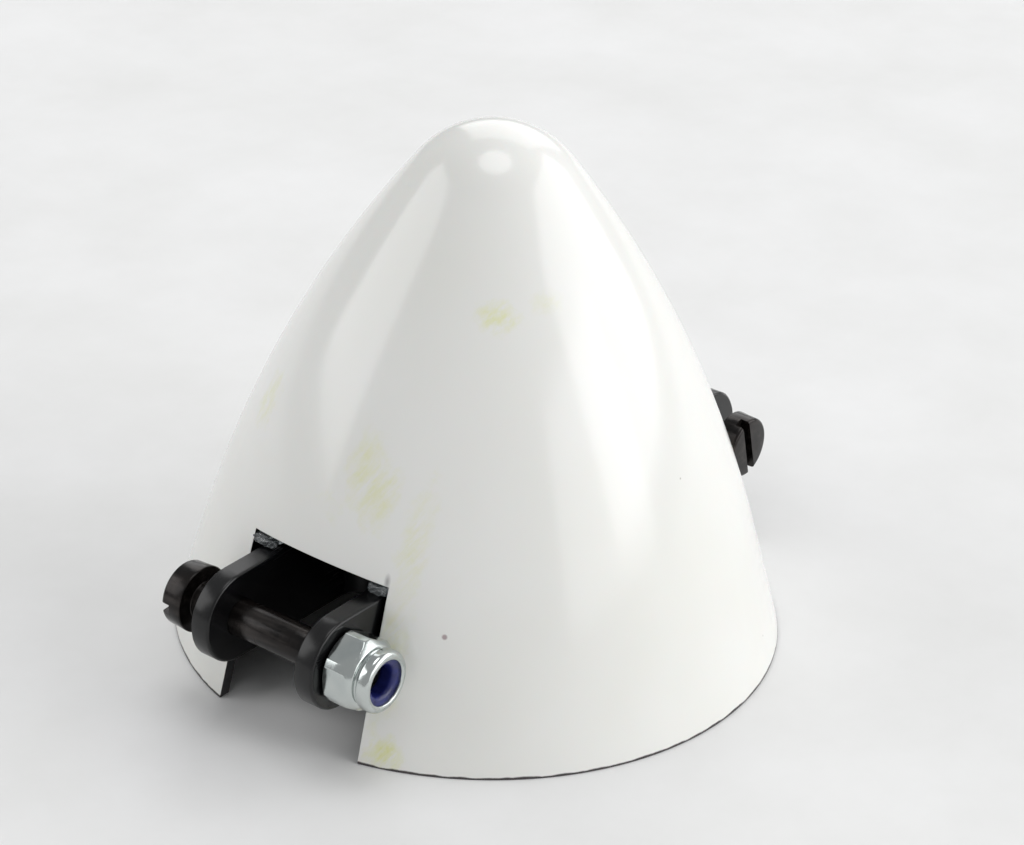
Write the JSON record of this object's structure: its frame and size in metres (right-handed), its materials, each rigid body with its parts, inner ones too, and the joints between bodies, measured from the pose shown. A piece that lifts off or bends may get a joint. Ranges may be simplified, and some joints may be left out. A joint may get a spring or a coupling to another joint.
{
  "type": "folding propeller spinner",
  "caption": "Pointed moulded spinner shell bonded to a two-armed metal yoke, whose forks carry folding propeller blades on pivot screws.",
  "frame": {"origin": "centre of the open rear rim, in the plane of the rim", "axes": "+Z forward to the nose along the spinner's axis of rotation; +X along the yoke to the front fork; Y parallel to the pivot screws, +Y towards the front fork's lock nut"},
  "size_m": [0.0568, 0.05, 0.0433],
  "materials": {
    "shell": "white gelcoat over a black fibre laminate, glossy outside",
    "yoke": "black anodised, semi-gloss",
    "screw_steel": "black oxide, oiled",
    "nut_steel": "bright zinc plate",
    "nylon": "blue nylon",
    "resin": "clear cast resin, glossy"
  },
  "bodies": {
    "spinner": {"spinner_shell": "shell", "yoke": "yoke", "grub_screw_front": "screw_steel", "grub_screw_rear": "screw_steel", "resin_bead_front_nut": "resin", "resin_bead_front_head": "resin", "resin_bead_rear_nut": "resin", "resin_bead_rear_head": "resin"},
    "pivot_front": {"pivot_screw_front": "screw_steel", "lock_nut_front": "nut_steel", "nylon_ring_front": "nylon"},
    "pivot_rear": {"pivot_screw_rear": "screw_steel", "lock_nut_rear": "nut_steel", "nylon_ring_rear": "nylon"}
  },
  "joints": [
    {"name": "pivot_front_turn", "type": "hinge", "parent": "spinner", "child": "pivot_front", "pos_m": [0.0246, 0, 0.0089], "axis": [0, 1, 0], "continuous": true},
    {"name": "pivot_rear_turn", "type": "hinge", "parent": "spinner", "child": "pivot_rear", "pos_m": [-0.0246, 0, 0.0089], "axis": [0, -1, 0], "continuous": true}
  ]
}
